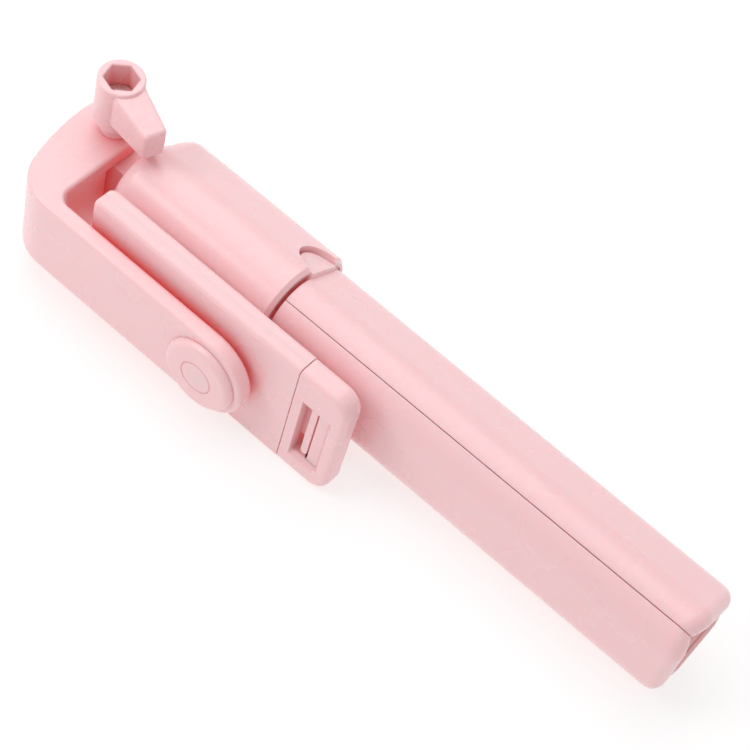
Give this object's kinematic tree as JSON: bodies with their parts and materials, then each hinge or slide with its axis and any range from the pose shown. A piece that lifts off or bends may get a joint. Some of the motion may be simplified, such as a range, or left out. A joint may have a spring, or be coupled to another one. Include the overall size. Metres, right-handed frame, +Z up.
{
  "type": "folding selfie stick tripod",
  "caption": "Folded pocket selfie stick whose handle opens into tripod legs, with a telescopic mast, tilting arm and sprung phone clamp.",
  "frame": {"origin": "centre of the part's box in X and Y, at its lowest point", "axes": "+X from the head to the feet along the stick, -Y towards the folded clamp arm, +Z up along the tilt bolt"},
  "size_m": [0.1808, 0.0462, 0.0454],
  "materials": {
    "pink_plastic": "fine satin moulded plastic",
    "pink_rubber": "soft matte rubber",
    "zinc_steel": "bright zinc plate",
    "mast_steel": "polished stainless tube",
    "white_nylon": "natural nylon"
  },
  "bodies": {
    "grip_hub": {"collar_sleeve": "pink_plastic", "hub_core": "pink_plastic", "hub_screws": "zinc_steel", "hinge_pin_upper": "zinc_steel", "hinge_pin_front": "zinc_steel", "hinge_pin_lower": "zinc_steel", "mast_tube_1": "mast_steel"},
    "leg_upper": {"leg_upper": "pink_plastic", "foot_pad_upper": "pink_rubber"},
    "leg_front": {"leg_front": "pink_plastic", "foot_pad_front": "pink_rubber"},
    "leg_lower": {"leg_lower": "pink_plastic", "foot_pad_lower": "pink_rubber"},
    "mast_2": {"mast_tube_2": "mast_steel", "mast_bush_2": "white_nylon"},
    "mast_3": {"mast_tube_3": "mast_steel", "mast_bush_3": "white_nylon"},
    "mast_4": {"mast_tube_4": "mast_steel", "mast_bush_4": "white_nylon"},
    "head": {"mast_tube_5": "mast_steel", "mast_bush_5": "white_nylon", "neck_block": "pink_plastic", "washer_top": "white_nylon", "washer_bottom": "white_nylon"},
    "bracket": {"bracket_arm": "pink_plastic", "pivot_cap": "pink_plastic", "pivot_nut": "zinc_steel", "tilt_bolt": "zinc_steel"},
    "lever": {"tilt_lever": "pink_plastic", "tilt_nut": "zinc_steel"},
    "clamp": {"clamp_body": "pink_plastic", "clamp_back_cover": "pink_plastic", "phone_pad": "pink_rubber", "pivot_screw": "zinc_steel", "pivot_washer": "white_nylon", "jaw_springs": "zinc_steel", "end_finger_pin": "zinc_steel"},
    "end_finger": {"end_finger": "pink_plastic"},
    "jaw": {"jaw": "pink_plastic", "jaw_rods": "zinc_steel", "jaw_finger_pin": "zinc_steel"},
    "jaw_finger": {"jaw_finger": "pink_plastic"}
  },
  "joints": [
    {"name": "mast_slide_1", "type": "slide", "parent": "grip_hub", "child": "mast_2", "axis": [-1, 0, 0], "range_m": [0, 0.108]},
    {"name": "mast_slide_2", "type": "slide", "parent": "mast_2", "child": "mast_3", "axis": [-1, 0, 0], "range_m": [0, 0.108]},
    {"name": "mast_slide_3", "type": "slide", "parent": "mast_3", "child": "mast_4", "axis": [-1, 0, 0], "range_m": [0, 0.108]},
    {"name": "mast_slide_4", "type": "slide", "parent": "mast_4", "child": "head", "axis": [-1, 0, 0], "range_m": [0, 0.108]},
    {"name": "leg_upper_hinge", "type": "hinge", "parent": "grip_hub", "child": "leg_upper", "pos_m": [-0.02634, 0.01208, 0.0269], "axis": [0, -0.866, 0.5], "range_deg": [0, 60]},
    {"name": "leg_front_hinge", "type": "hinge", "parent": "grip_hub", "child": "leg_front", "pos_m": [-0.02634, -0.00473, 0.0172], "axis": [0, 0, -1], "range_deg": [0, 60]},
    {"name": "leg_lower_hinge", "type": "hinge", "parent": "grip_hub", "child": "leg_lower", "pos_m": [-0.02634, 0.01208, 0.0075], "axis": [0, 0.866, 0.5], "range_deg": [0, 60]},
    {"name": "bracket_swing", "type": "hinge", "parent": "head", "child": "bracket", "pos_m": [-0.08134, 0.00647, 0.0172], "axis": [0, 0, -1], "range_deg": [0, 180]},
    {"name": "lever_turn", "type": "hinge", "parent": "bracket", "child": "lever", "pos_m": [-0.08134, 0.00647, 0.0352], "axis": [0, 0, 1], "range_deg": [-150, 180]},
    {"name": "clamp_turn", "type": "hinge", "parent": "bracket", "child": "clamp", "pos_m": [-0.02684, -0.01653, 0.0172], "axis": [0, 1, 0], "range_deg": [-90, 90]},
    {"name": "jaw_slide", "type": "slide", "parent": "clamp", "child": "jaw", "axis": [1, 0, 0], "range_m": [0, 0.032], "stiffness_N_per_m": 150, "springref_m": -0.02},
    {"name": "jaw_finger_hinge", "type": "hinge", "parent": "jaw", "child": "jaw_finger", "pos_m": [-0.00204, -0.01077, 0.016], "axis": [0, 0, 1], "range_deg": [0, 90]},
    {"name": "end_finger_hinge", "type": "hinge", "parent": "clamp", "child": "end_finger", "pos_m": [-0.05944, -0.01077, 0.0172], "axis": [0, 0, -1], "range_deg": [0, 90]}
  ],
  "couplings": [
    {"joint": "leg_front_hinge", "follows": "bracket_swing", "ratio": 0.33333},
    {"joint": "jaw_finger_hinge", "follows": "bracket_swing", "ratio": 0.5},
    {"joint": "end_finger_hinge", "follows": "bracket_swing", "ratio": 0.5}
  ]
}
